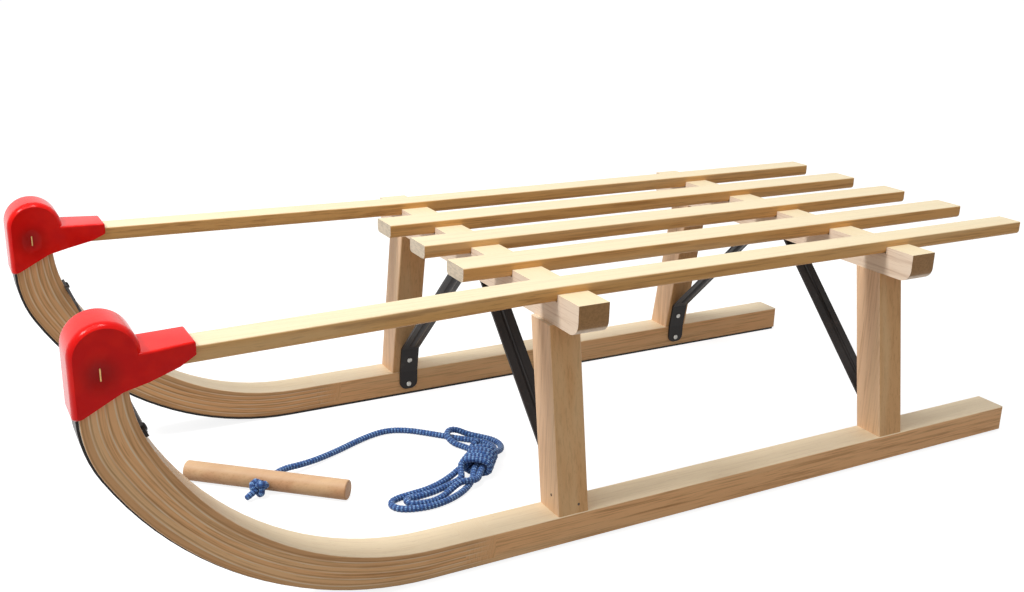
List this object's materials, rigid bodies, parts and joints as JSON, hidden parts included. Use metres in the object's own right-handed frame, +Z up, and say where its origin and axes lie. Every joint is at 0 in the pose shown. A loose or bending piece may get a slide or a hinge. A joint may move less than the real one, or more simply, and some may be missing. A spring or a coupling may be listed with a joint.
{
  "type": "wooden sled",
  "caption": "Slatted wooden sled with bent runners, leaning posts, steel braces and plastic-capped horns.",
  "frame": {"origin": "on the ground, midway between the horns and the slat tails, on the centre line", "axes": "+X towards the horns, +Y to the sled's left, +Z up"},
  "size_m": [1, 0.44, 0.27],
  "materials": {
    "beech": "clear lacquer",
    "red_plastic": "satin moulded",
    "blue_rope": "braided cord",
    "handle_wood": "sanded",
    "black_steel": "black paint"
  },
  "bodies": {
    "root": {"runner_left": "beech", "runner_shoe_left": "black_steel", "rail_left": "beech", "horn_cap_left": "red_plastic", "post_front_left": "beech", "brace_front_left": "black_steel", "post_rear_left": "beech", "brace_rear_left": "black_steel", "runner_right": "beech", "runner_shoe_right": "black_steel", "rail_right": "beech", "horn_cap_right": "red_plastic", "post_front_right": "beech", "brace_front_right": "black_steel", "post_rear_right": "beech", "brace_rear_right": "black_steel", "bearer_front": "beech", "bearer_rear": "beech", "slat_left": "beech", "slat_center": "beech", "slat_right": "beech", "front_strap": "black_steel", "pull_handle": "handle_wood", "pull_rope": "blue_rope", "rope_knot": "blue_rope", "rope_hank": "blue_rope"}
  },
  "joints": []
}
